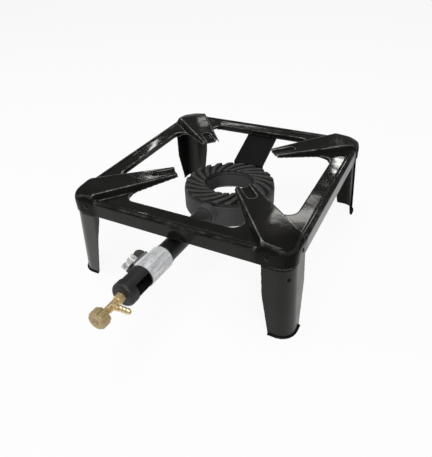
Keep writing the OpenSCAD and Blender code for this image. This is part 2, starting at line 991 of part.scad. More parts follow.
// Section of the ring shaped bowl; an inset gives its hollow.
module bowl_section(inset) {
    hole_r = centre_hole / 2;
    round_x = bowl_radius - bowl_round;
    round_z = bowl_floor + bowl_round;
    rim_top = inset > 0 ? cap_z + 1 : cap_z;
    polygon([
        [hole_r + inset * 1.34, hole_z + inset * 0.25],
        [hole_r + inset * 1.2 + (rim_top - hole_z) * centre_flare, rim_top],
        [round_x + 0.5, rim_top],
        [round_x + 0.5, bowl_floor + inset * 1.15],
        [round_x - 1 + inset * 0.3, bowl_floor + inset * 1.15]
    ]);
    translate([round_x, round_z])
        square([bowl_round - inset, rim_top - round_z]);
    translate([round_x, round_z])
        intersection() {
            circle(r = bowl_round - inset);
            translate([0, -bowl_round])
                square(bowl_round);
        }
}

module grub_positions() {
    for (turn = [30, 150])
        rotate(turn)
            translate([bowl_radius, 0, cap_z - cap_spigot_depth / 2 - 0.2])
                rotate([0, -90, 0])
                    children();
}

module burner_bowl() {
    lug_depth = strap_standoff + 5 * bowl_wall;
    color(iron)
        difference() {
            union() {
                on_ring()
                    rotate_extrude()
                        bowl_section(0);
                placed()
                    translate([-lug_width / 2, strap_reach - lug_depth, lug_top - lug_height])
                        cube([lug_width, lug_depth, lug_height]);
                on_axis()
                    translate([0, 0, socket_back])
                        cylinder(d = socket_diameter, h = socket_end - socket_back);
            }
            on_ring()
                rotate_extrude()
                    bowl_section(bowl_wall);
            on_ring()
                translate([0, 0, cap_z])
                    cylinder(r = bowl_radius + cap_clearance, h = 30);
            on_axis()
                translate([0, 0, tube_start])
                    cylinder(r = tube_diameter / 2 + hole_clearance, h = socket_end);
            on_axis()
                translate([0, 0, socket_back - bowl_wall])
                    cylinder(d = socket_bore, h = tube_start - socket_back + 2 * bowl_wall);
            placed()
                strap_bolt_positions()
                    translate([0, 0, -bolt_length - 0.5])
                        cylinder(r = bolt_shank / 2 + hole_clearance, h = 20);
            on_ring()
                grub_positions()
                    translate([0, 0, -1])
                        cylinder(r = grub_diameter / 2 + hole_clearance, h = 20);
        }
}

// One swirl rib seen from above, trimmed to the cap.
module rib_outline(inner_r, outer_r) {
    intersection() {
        translate([rib_curve_offset, 0])
            difference() {
                circle(r = rib_curve + rib_thickness / 2);
                circle(r = rib_curve - rib_thickness / 2);
            }
        difference() {
            circle(r = outer_r);
            circle(r = inner_r);
        }
        translate([-outer_r * 2, 0])
            square([outer_r * 4, outer_r * 2]);
    }
}

module burner_cap() {
    plate_top = cap_z + cap_plate;
    inner_low = centre_hole / 2 + (cap_z - hole_z) * centre_flare;
    inner_high = inner_low + cap_plate * centre_flare;
    cap_radius = bowl_radius - cap_setback;
    spigot = bowl_radius - bowl_wall - cap_clearance;
    port_angle = acos((port_radius * port_radius + rib_curve_offset * rib_curve_offset
        - rib_curve * rib_curve) / 2 / port_radius / rib_curve_offset);
    color(iron)
        on_ring()
            difference() {
                union() {
                    rotate_extrude()
                        polygon([
                            [inner_low, cap_z],
                            [cap_radius, cap_z],
                            [cap_radius, plate_top],
                            [inner_high, plate_top]
                        ]);
                    rotate_extrude()
                        translate([spigot - cap_spigot_wall, cap_z - cap_spigot_depth])
                            square([cap_spigot_wall, cap_spigot_depth + 1]);
                    translate([0, 0, plate_top - 0.5])
                        linear_extrude(rib_height + 0.5)
                            for (rib = [0:rib_count - 1])
                                rotate(rib * 360 / rib_count)
                                    rib_outline(inner_high + rib_inner_gap, cap_radius - rib_edge_gap);
                }
                rotate_extrude()
                    polygon([
                        [cap_radius - rib_chamfer, ring_rise + 0.01],
                        [cap_radius + 1, ring_rise - rib_chamfer - 1],
                        [cap_radius + 1, ring_rise + 0.01]
                    ]);
                for (rib = [0:rib_count - 1])
                    rotate((rib + 0.5) * 360 / rib_count + port_angle)
                        translate([port_radius, 0, cap_z - 1])
                            cylinder(d = port_diameter, h = cap_plate + 2);
                grub_positions()
                    cylinder(r = grub_diameter / 2 + hole_clearance, h = 20);
            }
}

module cap_screws() {
    color(dark_steel)
        on_ring()
            grub_positions()
                cylinder(d = grub_diameter, h = grub_length);
}

module venturi_tube() {
    color(dark_steel)
        difference() {
            union() {
                on_axis()
                    translate([0, 0, tube_start])
                        cylinder(d = tube_diameter, h = tube_end - tube_start);
                placed()
                    translate([0, -hanger_screw_offset, axis_height + 6])
                        cylinder(d = boss_diameter, h = hanger_z - axis_height - 6);
            }
            on_axis()
                translate([0, 0, tube_start - 1])
                    cylinder(r = tube_diameter / 2 - tube_wall, h = tube_end - tube_start + 2);
            placed()
                translate([0, -hanger_screw_offset, hanger_z - 4])
                    cylinder(r = bolt_shank / 2 + hole_clearance, h = 8);
        }
}

module air_window(height) {
    translate([0, -height / 2, window_start])
        cube([head_ring_diameter, height, window_length]);
}

module mixing_head() {
    ring_r = head_ring_diameter / 2;
    ring_start = head_end - head_ring_length;
    bore_length = head_end - head_front_wall - head_start;
    color(iron)
        on_axis()
            difference() {
                rotate_extrude()
                    difference() {
                        union() {
                            translate([0, head_start])
                                square([head_radius, ring_start - head_start + 1]);
                            translate([0, ring_start])
                                square([ring_r, head_ring_length - head_round]);
                            translate([0, ring_start])
                                square([ring_r - head_round, head_ring_length]);
                            translate([ring_r - head_round, head_end - head_round])
                                circle(r = head_round);
                        }
                        translate([0, head_start - 1])
                            square([tube_diameter / 2 + hole_clearance, bore_length + 1]);
                        square([valve_shank / 2 + hole_clearance, head_end + head_round]);
                        translate([-head_ring_diameter, 0])
                            square([head_ring_diameter, head_end + head_round]);
                    }
                air_window(window_height);
                rotate(window_turn)
                    air_window(far_window_height);
            }
}

module air_shutter() {
    color(pale_metal)
        on_axis()
            difference() {
                union() {
                    translate([0, 0, shutter_start])
                        cylinder(r = shutter_outer, h = shutter_length);
                    rotate(pad_angle)
                        translate([-pad_width / 2, 0, pad_start])
                            cube([pad_width, pad_top, pad_length]);
                }
                translate([0, 0, shutter_start - 1])
                    cylinder(r = shutter_inner, h = shutter_length + 2);
                translate([0, 0, shutter_start + shutter_length])
                    cylinder(r = head_ring_diameter / 2 + pad_clearance, h = pad_length);
                rotate(pad_angle)
                    translate([0, 0, wing_position])
                        rotate([-90, 0, 0])
                            cylinder(r = wing_shank / 2 + turn_clearance, h = pad_top + 5);
            }
}

// Wing screw in its own frame: y out from the shutter, z along the burner axis.
module wing_screw() {
    tip = head_radius + wing_gap;
    hub = pad_top + wing_gap;
    color(pale_metal)
        on_axis()
            rotate(pad_angle)
                translate([0, 0, wing_position]) {
                    rotate([-90, 0, 0])
                        translate([0, 0, tip])
                            cylinder(d = wing_shank, h = hub - tip + 1);
                    rotate([-90, 0, 0])
                        translate([0, 0, hub])
                            cylinder(d = wing_hub, h = wing_hub_height);
                    translate([0, hub, 0])
                        rotate([0, -90, 0])
                            linear_extrude(wing_thickness, center = true)
                                wing_outline();
                }
}

module wing_outline() {
    base = wing_hub / 2 - 1;
    polygon([
        [base, 0.6],
        [wing_reach - 1.5, 0.2],
        [wing_reach, 1.5],
        [wing_reach, wing_height - 0.6],
        [wing_reach - 4, wing_height],
        [base, wing_height - 1.2]
    ]);
    translate([-round_reach + wing_round, 0])
        intersection() {
            circle(r = wing_round);
            translate([-wing_round, 0.4])
                square(wing_round * 2);
        }
    translate([-round_reach + wing_round, 0.4])
        square([round_reach - wing_round - base, wing_height - 1.6]);
}

module valve_body() {
    barrel_end = gland_start;
    color(brass)
        on_axis()
            difference() {
                union() {
                    translate([0, 0, head_end - valve_shank_length])
                        cylinder(d = valve_shank, h = valve_shank_length + 1);
                    translate([0, 0, head_end])
                        hexagon(valve_hex, valve_hex_length);
                    translate([0, 0, valve_front - 1])
                        cylinder(d = valve_barrel, h = valve_barrel_length + 1);
                    translate([0, 0, head_end + nozzle_offset])
                        rotate([0, 90, 0])
                            cylinder(d = nozzle_boss, h = nozzle_boss_reach);
                }
                translate([0, 0, valve_seat])
                    cylinder(d = valve_bore, h = barrel_end - valve_seat + 1);
                translate([0, 0, head_end - valve_shank_length - 1])
                    cylinder(d = gas_passage, h = valve_seat - head_end + valve_shank_length + 2);
                translate([0, 0, head_end + nozzle_offset])
                    rotate([0, 90, 0])
                        translate([0, 0, 1])
                            cylinder(r = nozzle_seat / 2 + hole_clearance, h = nozzle_boss_reach);
            }
}

module valve_locknut() {
    color(brass)
        on_axis()
            translate([0, 0, head_end - head_front_wall - locknut_height])
                difference() {
                    hexagon(locknut_hex, locknut_height);
                    translate([0, 0, -1])
                        cylinder(r = valve_shank / 2 + hole_clearance, h = locknut_height + 2);
                }
}

module gas_jet() {
    jet_back = head_end - valve_shank_length;
    color(brass)
        on_axis()
            rotate_extrude()
                polygon([
                    [jet_orifice / 2, jet_back - jet_length],
                    [jet_diameter / 2 - 1.4, jet_back - jet_length],
                    [jet_diameter / 2, jet_back - jet_length + 2],
                    [jet_diameter / 2, jet_back],
                    [jet_orifice / 2, jet_back]
                ]);
}

module hose_nozzle() {
    first = nozzle_boss_reach + barb_start;
    last = first + (barb_count - 1) * barb_pitch + barb_land;
    tip = last + nozzle_tip;
    barb_slope = barb_pitch - barb_land - 0.6;
    color(brass)
        on_axis()
            translate([0, 0, head_end + nozzle_offset])
                rotate([0, 90, 0])
                    difference() {
                        union() {
                            translate([0, 0, valve_bore / 2 + 0.4])
                                cylinder(d = nozzle_seat, h = nozzle_boss_reach);
                            translate([0, 0, nozzle_boss_reach])
                                cylinder(d = barb_root, h = last - nozzle_boss_reach);
                            translate([0, 0, nozzle_boss_reach])
                                cylinder(d = nozzle_boss - 0.2, h = 1.6);
                            for (barb = [0:barb_count - 1])
                                translate([0, 0, first + barb * barb_pitch]) {
                                    cylinder(d = barb_diameter, h = barb_land);
                                    translate([0, 0, barb_land])
                                        cylinder(d1 = barb_diameter, d2 = barb_root, h = barb_slope);
                                }
                            translate([0, 0, last])
                                cylinder(d1 = barb_diameter - 0.6, d2 = barb_root - 0.8, h = tip - last);
                        }
                        cylinder(d = nozzle_bore, h = tip + 5);
                    }
}

module gland_nut() {
    color(brass)
        on_axis()
            translate([0, 0, gland_start])
                difference() {
                    union() {
                        hexagon(gland_hex, gland_length);
                        translate([0, 0, -gland_collar])
                            cylinder(r = valve_bore / 2 - hole_clearance, h = gland_collar + 1);
                    }
                    translate([0, 0, -5])
                        cylinder(r = spindle_diameter / 2 + turn_clearance, h = gland_length + 10);
                }
}

module stem_seal() {
    ring_r = valve_bore / 2 - turn_clearance - seal_section / 2;
    color([0.05, 0.05, 0.05])
        on_axis()
            translate([0, 0, seal_position])
                rotate_extrude()
                    translate([ring_r, 0])
                        circle(d = seal_section);
}

module valve_spindle() {
    needle_tip = valve_seat - 1;
    shoulder = seal_position - 1.6;
    groove_r = valve_bore / 2 - turn_clearance - seal_section - turn_clearance;
    color(brass)
        on_axis()
            rotate_extrude()
                polygon([
                    [0, needle_tip],
                    [0.4, needle_tip],
                    [needle_diameter / 2, needle_tip + needle_cone],
                    [needle_diameter / 2, shoulder],
                    [spindle_diameter / 2, shoulder],
                    [spindle_diameter / 2, seal_position - 1],
                    [groove_r, seal_position - 1],
                    [groove_r, seal_position + 1],
                    [spindle_diameter / 2, seal_position + 1],
                    [spindle_diameter / 2, knob_front - knob_recess],
                    [0, knob_front - knob_recess]
                ]);
}

module control_knob() {
    knob_r = knob_diameter / 2;
    back_round = 1.5;
    color(brass)
        on_axis()
            difference() {
                rotate_extrude()
                    difference() {
                        union() {
                            translate([0, knob_back])
                                square([knob_r - back_round, knob_length]);
                            translate([0, knob_back + back_round])
                                square([knob_r, knob_length - back_round - knob_round]);
                            translate([0, knob_back])
                                square([knob_r - knob_round, knob_length]);
                            translate([knob_r - knob_round, knob_front - knob_round])
                                circle(r = knob_round);
                            translate([knob_r - back_round, knob_back + back_round])
                                circle(r = back_round);
                        }
                        translate([-knob_diameter, 0])
                            square([knob_diameter, knob_front + knob_round]);
                    }
                for (flute = [0:knob_flutes - 1])
                    rotate((flute + 0.5) * 360 / knob_flutes)
                        translate([knob_r + flute_radius - flute_depth, 0, knob_back - 1])
                            cylinder(r = flute_radius, h = knob_length + 2);
                translate([0, 0, knob_back - 1])
                    cylinder(r = spindle_diameter / 2 + hole_clearance, h = knob_length + 2);
                translate([0, 0, knob_front - knob_recess])
                    cylinder(d = knob_screw_head + 1, h = knob_recess + 1);
            }
}

module knob_screw() {
    color(brass)
        on_axis()
            translate([0, 0, knob_front - knob_recess])
                difference() {
                    cylinder(d = knob_screw_head, h = knob_recess - 0.2);
                    translate([-5, -0.5, knob_recess - 0.9])
                        cube([10, 1, 2]);
                }
}

top_frame();
leg_front_left();
leg_front_right();
leg_rear_right();
leg_rear_left();
leg_rivets();
rear_strap();
rear_strap_rivets();
rear_strap_bolts();
front_hanger();
front_hanger_rivets();
front_hanger_screw();
burner_bowl();
burner_cap();
cap_screws();
venturi_tube();
mixing_head();
air_shutter();
wing_screw();
valve_body();
valve_locknut();
gas_jet();
hose_nozzle();
gland_nut();
stem_seal();
valve_spindle();
control_knob();
knob_screw();
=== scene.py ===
"""Looks of the outdoor gas burner.

Enamelled stand, cast ring, painted tube, pale shutter and dull brass valve.
"""
import math

import bpy
from mathutils import Matrix, Vector


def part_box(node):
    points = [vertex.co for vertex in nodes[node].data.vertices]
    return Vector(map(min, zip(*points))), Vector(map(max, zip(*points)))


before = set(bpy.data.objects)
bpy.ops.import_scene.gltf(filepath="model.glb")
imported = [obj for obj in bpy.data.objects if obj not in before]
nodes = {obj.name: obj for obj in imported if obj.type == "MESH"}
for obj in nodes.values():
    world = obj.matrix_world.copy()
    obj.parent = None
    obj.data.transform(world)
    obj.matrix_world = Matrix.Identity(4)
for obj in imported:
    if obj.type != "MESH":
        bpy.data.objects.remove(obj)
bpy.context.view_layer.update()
scene = bpy.context.scene
MM = 0.001

# Middle of the frame at its skirt's lower edge, and half of its side.
frame_low, frame_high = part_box("top_frame")
CENTRE = Vector((0.0, (frame_low.y + frame_high.y) / 2, frame_low.z))
HALF_SIDE = 0.15

# Burner axis: a point under the frame's centre, its direction to the valve,
# the ring's upward direction and the side of the shutter's pad.
TILT = math.radians(2.8)
AXIS_DROP = 0.0231
AXIS_POINT = CENTRE - Vector((0.0, 0.0, AXIS_DROP))
TO_VALVE = Vector((0.0, -math.cos(TILT), math.sin(TILT)))
RING_UP = Vector((0.0, math.sin(TILT), math.cos(TILT)))
PAD_TURN = math.radians(56.0)
TO_PAD = Vector((-math.sin(PAD_TURN), 0.0, 0.0)) + RING_UP * math.cos(PAD_TURN)

# Places along the burner axis, from its point towards the valve.
BOWL_END = 0.066
SCREW_PLACE = 0.1975
PAD_FRONT = 0.2045

# The sleeve's reach from the burner axis, and the bowl's wall from the middle of the ring.
SLEEVE_REACH = 0.0142
BOWL_INNER, BOWL_OUTER = 0.056, 0.061

# Dimple in the fold of a leg, where shade is painted, and the way to a corner, with the four
# corners folded into one.
DIMPLE = Vector((0.1438, 0.1438, 0.014))
DIAGONAL = Vector((math.sqrt(0.5), math.sqrt(0.5), 0.0))


class Shader:
    """Small helper that builds one node material."""

    def __init__(self, name):
        self.material = bpy.data.materials.new(name)
        self.material.use_nodes = True
        self.tree = self.material.node_tree
        self.bsdf = self.tree.nodes["Principled BSDF"]
        self.place = self.add("ShaderNodeTexCoord").outputs["Object"]

    def add(self, kind, **values):
        node = self.tree.nodes.new(kind)
        for key, value in values.items():
            setattr(node, key, value)
        return node

    def link(self, source, target):
        self.tree.links.new(source, target)

    def stretched(self, stretch):
        mapping = self.add("ShaderNodeMapping")
        mapping.inputs["Scale"].default_value = stretch
        self.link(self.place, mapping.inputs["Vector"])
        return mapping.outputs["Vector"]

    def noise(self, scale, detail=3.0, rough=0.5, where=None):
        node = self.add("ShaderNodeTexNoise")
        node.inputs["Scale"].default_value = scale
        node.inputs["Detail"].default_value = detail
        node.inputs["Roughness"].default_value = rough
        self.link(where or self.place, node.inputs["Vector"])
        return node.outputs["Fac"]

    def ramp(self, factor, stops):
        node = self.add("ShaderNodeValToRGB")
        elements = node.color_ramp.elements
        while len(elements) < len(stops):
            elements.new(0.5)
        for element, (at, colour) in zip(elements, stops):
            element.position = at
            element.color = (*colour, 1.0)
        self.link(factor, node.inputs["Fac"])
        return node.outputs["Color"]

    def spread(self, factor, low, high, start=0.3, end=0.7):
        """A factor from start to end, spread over low to high."""
        node = self.add("ShaderNodeMapRange")
        node.inputs["From Min"].default_value = start
        node.inputs["From Max"].default_value = end
        node.inputs["To Min"].default_value = low
        node.inputs["To Max"].default_value = high
        self.link(factor, node.inputs["Value"])
        return node.outputs["Result"]

    def along(self, direction):
        node = self.add("ShaderNodeVectorMath", operation="DOT_PRODUCT")
        node.inputs[1].default_value = direction
        self.link(self.place, node.inputs[0])
        return node.outputs["Value"]

    def facing(self):
        node = self.add("ShaderNodeSeparateXYZ")
        self.link(self.add("ShaderNodeNewGeometry").outputs["Normal"], node.inputs["Vector"])
        return node.outputs

    def edges(self, low, high, start=0.46, end=0.6):
        """1 on sharp outer edges, broken up by a noise, 0 on flat and hollow faces; used to paint
        highlights on edges.
        """
        sharp = self.add("ShaderNodeNewGeometry").outputs["Pointiness"]
        return self.joined(
            "MULTIPLY",
            self.spread(sharp, 0.0, 1.0, low, high),
            self.spread(self.noise(210.0, 5.0, 0.75), 0.0, 1.0, start, end),
        )

    def in_corner(self, operation, value):
        """A vector operation on the place, folded so that the frame's four corners are one."""
        shift = self.add("ShaderNodeVectorMath", operation="SUBTRACT")
        shift.inputs[1].default_value = CENTRE
        self.link(self.place, shift.inputs[0])
        fold = self.add("ShaderNodeVectorMath", operation="ABSOLUTE")
        self.link(shift.outputs[0], fold.inputs[0])
        node = self.add("ShaderNodeVectorMath", operation=operation)
        node.inputs[1].default_value = value
        self.link(fold.outputs[0], node.inputs[0])
        return node.outputs["Value"]

    def joined(self, operation, first, second):
        node = self.add("ShaderNodeMath", operation=operation)
        self.link(first, node.inputs[0])
        self.link(second, node.inputs[1])
        return node.outputs[0]

    def mixed(self, factor, first, second):
        node = self.add("ShaderNodeMix", data_type="RGBA")
        self.link(factor, node.inputs["Factor"])
        self.link(first, node.inputs["A"])
        self.link(second, node.inputs["B"])
        return node.outputs["Result"]

    def bump(self, height, depth, strength=1.0, under=None):
        node = self.add("ShaderNodeBump")
        node.inputs["Strength"].default_value = strength
        node.inputs["Distance"].default_value = depth
        self.link(height, node.inputs["Height"])
        if under is not None:
            self.link(under, node.inputs["Normal"])
        return node.outputs["Normal"]

    def finish(self, colour, rough, normal, metal=0.0, ior=1.5, gloss=0.5):
        self.link(colour, self.bsdf.inputs["Base Color"])
        self.link(rough, self.bsdf.inputs["Roughness"])
        self.link(normal, self.bsdf.inputs["Normal"])
        self.bsdf.inputs["Metallic"].default_value = metal
        self.bsdf.inputs["IOR"].default_value = ior
        self.bsdf.inputs["Specular IOR Level"].default_value = gloss
        return self.material


# Painted reflection: the left legs' specular level against the right ones', and the faint yellow of
# the enamel's shine.
LEFT_LEG_PAINTED_REFLECTION = 2.8
ENAMEL_TINT = (1.0, 0.99, 0.91, 1.0)

# Iron and paint burnt grey by the flame.
BURNT = [(0.3, (0.033, 0.0315, 0.031)), (0.7, (0.066, 0.063, 0.062))]


def enamel(name, dark, light, rough_low, rough_high, wave, leg=False):
    """Dipped black enamel, with its reflection painted: higher on flat tops, lower on the upright
    faces.

    The specular level follows the way a face points and its place on the stand, as painted
    reflection.
    """
    s = Shader(name)
    base = s.ramp(s.noise(30.0, 4.0), [(0.3, dark), (0.7, light)])
    rough = s.spread(s.noise(55.0, 5.0), rough_low, rough_high)
    waves = s.bump(s.noise(16.0, 1.5), wave)
    runs = s.bump(s.noise(70.0, 2.0), wave * 0.07, 1.0, waves)
    peel = s.bump(s.noise(650.0, 1.0), 0.00002, 0.5, runs)
    face = s.facing()
    height = s.along((0.0, 0.0, 1.0))
    depth = s.along((0.0, 1.0, 0.0))
    near, far = CENTRE.y - HALF_SIDE, CENTRE.y + HALF_SIDE
    # Painted reflection: on upright faces the specular level falls from the front of the stand to
    # the back, has its own level on faces turned to the side, and is raised on the left legs.
    front_gloss = 0.185 if leg else 0.145
    side_gloss = 0.26 if leg else 0.2
    side_starts = 0.5 if leg else 0.8
    front = s.spread(depth, front_gloss, 0.07, near, far)
    if leg:
        left = s.spread(s.along((1.0, 0.0, 0.0)), LEFT_LEG_PAINTED_REFLECTION, 1.0, -0.14, 0.0)
        front = s.joined("MULTIPLY", front, left)
    upright = s.mixed(
        s.spread(face["X"], 0.0, 1.0, side_starts, 0.97),
        front,
        s.spread(depth, side_gloss, 0.0, near, far - 0.03),
    )
    # Painted reflection on tilted and flat faces: the specular level follows how far a face turns
    # up, broken up by a noise.
    raised = s.joined(
        "MULTIPLY",
        s.ramp(face["Z"], [(0.35, (0.02,) * 3), (0.84, (0.06,) * 3), (0.95, (0.6,) * 3)]),
        s.joined(
            "MAXIMUM",
            s.spread(s.noise(130.0, 4.0, 0.7), 0.1, 1.0, 0.44, 0.58),
            s.spread(face["Z"], 0.0, 1.0, 0.88, 0.96),
        ),
    )
    gloss = s.mixed(s.spread(face["Z"], 0.0, 1.0, 0.12, 0.3), upright, raised)
    if leg:
        # Painted shade: the legs' specular level drops to near black just under the skirt's lower
        # edge.
        shade_under_skirt = s.spread(height, 1.0, 0.05, CENTRE.z - 0.0045, CENTRE.z - 0.0015)
        # Painted shade: the turned-out foot lip is dulled to near black.
        lip = s.spread(height, 0.1, 1.0, 0.0022, 0.003)
        # Painted shade round the dimple in the fold of the leg.
        dimple = s.spread(s.in_corner("DISTANCE", DIMPLE), 0.05, 1.0, 0.0016, 0.0024)
        for shade in (shade_under_skirt, lip, dimple):
            gloss = s.joined("MULTIPLY", gloss, shade)
        colour = base
    else:
        # Painted shade: duller reflection on the skirt's rounded corners, where a face turns
        # between front and side.
        across = s.joined("MULTIPLY", face["X"], face["Y"])
        bend = s.spread(s.joined("MULTIPLY", across, across), 1.0, 0.2, 0.06, 0.2)
        # Painted shade along the skirt's lower edge.
        edge = s.spread(height, 0.2, 1.0, CENTRE.z + 0.0008, CENTRE.z + 0.0018)
        # Painted shade: duller reflection on the crests of the frame's corners.
        crest = s.spread(s.in_corner("DOT_PRODUCT", DIAGONAL), 1.0, 0.3, 0.178, 0.184)
        for shade in (bend, edge, crest):
            gloss = s.joined("MULTIPLY", gloss, shade)
        # Painted highlights: a pale colour on sharp outer edges, broken up by a noise.
        colour = s.mixed(
            s.edges(0.505, 0.533, 0.32, 0.58),
            base,
            s.ramp(s.noise(90.0, 2.0), [
                (0.3, (0.05, 0.05, 0.046)),
                (0.7, (0.36, 0.355, 0.345)),
            ]),
        )
    material = s.finish(colour, rough, peel, ior=1.62)
    s.link(gloss, s.bsdf.inputs["Specular IOR Level"])
    s.bsdf.inputs["Specular Tint"].default_value = ENAMEL_TINT
    return material


def ring_iron(name, low, top):
    """Cast iron with painted shade in the hollows and painted highlights on the ribs."""
    s = Shader(name)
    patches = s.noise(60.0, 6.0, 0.65)
    speck = s.noise(1300.0, 2.0)
    # Painted shade and highlight: dark in the hollows between the ribs, pale specks on the rib
    # tops.
    height = s.spread(s.along(RING_UP), 0.0, 1.0, low, top)
    colour = s.mixed(
        height,
        s.ramp(patches, [(0.3, (0.0055, 0.0053, 0.005)), (0.7, (0.012, 0.0115, 0.011))]),
        s.ramp(speck, [(0.36, (0.01, 0.0097, 0.0093)), (0.66, (0.085, 0.083, 0.08))]),
    )
    # Painted highlights: pale specks on the sharp edges of the ribs.
    colour = s.mixed(
        s.edges(0.52, 0.6),
        colour,
        s.ramp(speck, [(0.36, (0.03, 0.029, 0.028)), (0.66, (0.2, 0.195, 0.19))]),
    )
    rough = s.spread(speck, 0.36, 0.75)
    lumps = s.bump(s.noise(420.0, 3.0), 0.0005)
    sand = s.bump(s.noise(1100.0, 4.0, 0.6), 0.0003, 1.0, lumps)
    return s.finish(colour, rough, sand, gloss=0.4)


def cast(name, dark, light, grain, depth, rough_low, rough_high):
    """Dull, sandy surface with fine specks."""
    s = Shader(name)
    patches = s.noise(45.0, 6.0, 0.65)
    speck = s.noise(grain * 1.7, 2.0)
    colour = s.mixed(
        s.spread(speck, 0.0, 0.5),
        s.ramp(patches, [(0.3, dark), (0.7, light)]),
        s.ramp(patches, [(0.3, light), (0.7, dark)]),
    )
    rough = s.spread(patches, rough_low, rough_high)
    sand = s.bump(s.noise(grain, 4.0, 0.6), depth)
    return s.finish(colour, rough, sand)


def bowl_iron(middle):
    """Cast iron, scaled pale grey on the outside of the bowl and sooty in its hollow."""
    s = Shader("cast_iron_bowl")
    patches = s.noise(45.0, 6.0, 0.65)
    shift = s.add("ShaderNodeVectorMath", operation="SUBTRACT")
    shift.inputs[1].default_value = middle
    s.link(s.place, shift.inputs[0])
    flat = s.add("ShaderNodeVectorMath", operation="MULTIPLY")
    flat.inputs[1].default_value = (1.0, 1.0, 0.0)
    s.link(shift.outputs[0], flat.inputs[0])
    reach = s.add("ShaderNodeVectorMath", operation="LENGTH")
    s.link(flat.outputs[0], reach.inputs[0])
    colour = s.mixed(
        s.spread(reach.outputs["Value"], 0.0, 1.0, BOWL_INNER, BOWL_OUTER),
        s.ramp(patches, [(0.3, (0.011, 0.0105, 0.01)), (0.7, (0.024, 0.023, 0.0225))]),
        s.ramp(patches, BURNT),
    )
    rough = s.spread(patches, 0.55, 0.8)
    sand = s.bump(s.noise(900.0, 4.0, 0.6), 0.0002)
    return s.finish(colour, rough, sand)


def satin_paint(name, dark, light, rough_low, rough_high, gloss):
    """Thin black paint with a fine peel."""
    s = Shader(name)
    patches = s.noise(38.0, 5.0, 0.6)
    colour = s.ramp(patches, [(0.3, dark), (0.7, light)])
    rough = s.spread(s.noise(160.0, 3.0), rough_low, rough_high)
    peel = s.bump(s.noise(420.0, 3.0), 0.00006, 0.7)
    return s.finish(colour, rough, peel, gloss=gloss)


def tube_paint():
    """Satin paint, burnt grey beside the ring and black towards the valve."""
    s = Shader("satin_black_tube")
    patches = s.noise(38.0, 5.0, 0.6)
    bowl_side = AXIS_POINT.dot(TO_VALVE) + BOWL_END
    colour = s.mixed(
        s.spread(s.along(TO_VALVE), 0.0, 1.0, bowl_side, bowl_side + 0.03),
        s.ramp(patches, BURNT),
        s.ramp(patches, [(0.3, (0.0042, 0.0042, 0.0045)), (0.7, (0.0095, 0.0092, 0.009))]),
    )
    rough = s.spread(s.noise(160.0, 3.0), 0.35, 0.5)
    peel = s.bump(s.noise(420.0, 3.0), 0.00006, 0.7)
    return s.finish(colour, rough, peel, gloss=0.22)


def brushed(name, dark, light, metal, rough_low, rough_high, stretch):
    """Metal with streaks and dull blotches."""
    s = Shader(name)
    streaks = s.noise(60.0, 4.0, 0.6, s.stretched(stretch))
    blotch = s.noise(70.0, 3.0)
    colour = s.mixed(
        s.spread(blotch, 0.0, 0.6),
        s.ramp(streaks, [(0.3, dark), (0.7, light)]),
        s.ramp(blotch, [(0.35, light), (0.7, dark)]),
    )
    rough = s.spread(streaks, rough_low, rough_high)
    scratch = s.bump(streaks, 0.00004, 0.6)
    return s.finish(colour, rough, scratch, metal)


def shutter_metal():
    """Scuffed pale sleeve; its screw pad is darker and the pad's front end is near black."""
    s = Shader("pale_shutter_metal")
    streaks = s.noise(60.0, 4.0, 0.6, s.stretched((4.5, 0.3, 4.5)))
    scuffs = s.noise(240.0, 6.0, 0.7)
    sleeve = s.mixed(
        s.spread(scuffs, 0.0, 0.75, 0.42, 0.66),
        s.ramp(streaks, [(0.35, (0.5, 0.515, 0.54)), (0.65, (0.92, 0.93, 0.935))]),
        s.ramp(scuffs, [(0.45, (0.74, 0.745, 0.74)), (0.7, (0.26, 0.26, 0.25))]),
    )
    out = AXIS_POINT.dot(TO_PAD) + SLEEVE_REACH
    pad = s.mixed(
        s.spread(s.along(TO_PAD), 0.0, 1.0, out, out + 0.001),
        sleeve,
        s.ramp(scuffs, [(0.4, (0.14, 0.135, 0.125)), (0.7, (0.22, 0.21, 0.2))]),
    )
    front = AXIS_POINT.dot(TO_VALVE) + PAD_FRONT
    colour = s.mixed(
        s.spread(s.along(TO_VALVE), 0.0, 1.0, front, front + 0.0008),
        pad,
        s.ramp(scuffs, [(0.4, (0.012, 0.012, 0.012)), (0.7, (0.022, 0.022, 0.021))]),
    )
    rough = s.spread(streaks, 0.36, 0.55)
    scratch = s.bump(streaks, 0.00004, 0.6)
    dents = s.bump(scuffs, 0.00012, 0.6, scratch)
    return s.finish(colour, rough, dents, 0.2)


def wing_zinc():
    """Zinc wing screw: flat wing and hub painted bright as if lit, round wing beyond the hub
    painted dark as if shaded.
    """
    s = Shader("zinc_wing")
    blotch = s.noise(260.0, 4.0, 0.6)
    middle = AXIS_POINT.dot(TO_VALVE) + SCREW_PLACE
    # Painted light and shade: bright on the near side of the hub, dark beyond it.
    bright = s.spread(s.along(TO_VALVE), 0.0, 1.0, middle - 0.0062, middle - 0.0046)
    colour = s.mixed(
        bright,
        s.ramp(blotch, [(0.3, (0.05, 0.049, 0.047)), (0.7, (0.10, 0.098, 0.094))]),
        s.ramp(blotch, [(0.38, (0.34, 0.34, 0.335)), (0.6, (0.92, 0.92, 0.91))]),
    )
    rough = s.spread(blotch, 0.25, 0.45)
    return s.finish(colour, rough, s.bump(blotch, 0.0001, 0.7), 0.15)


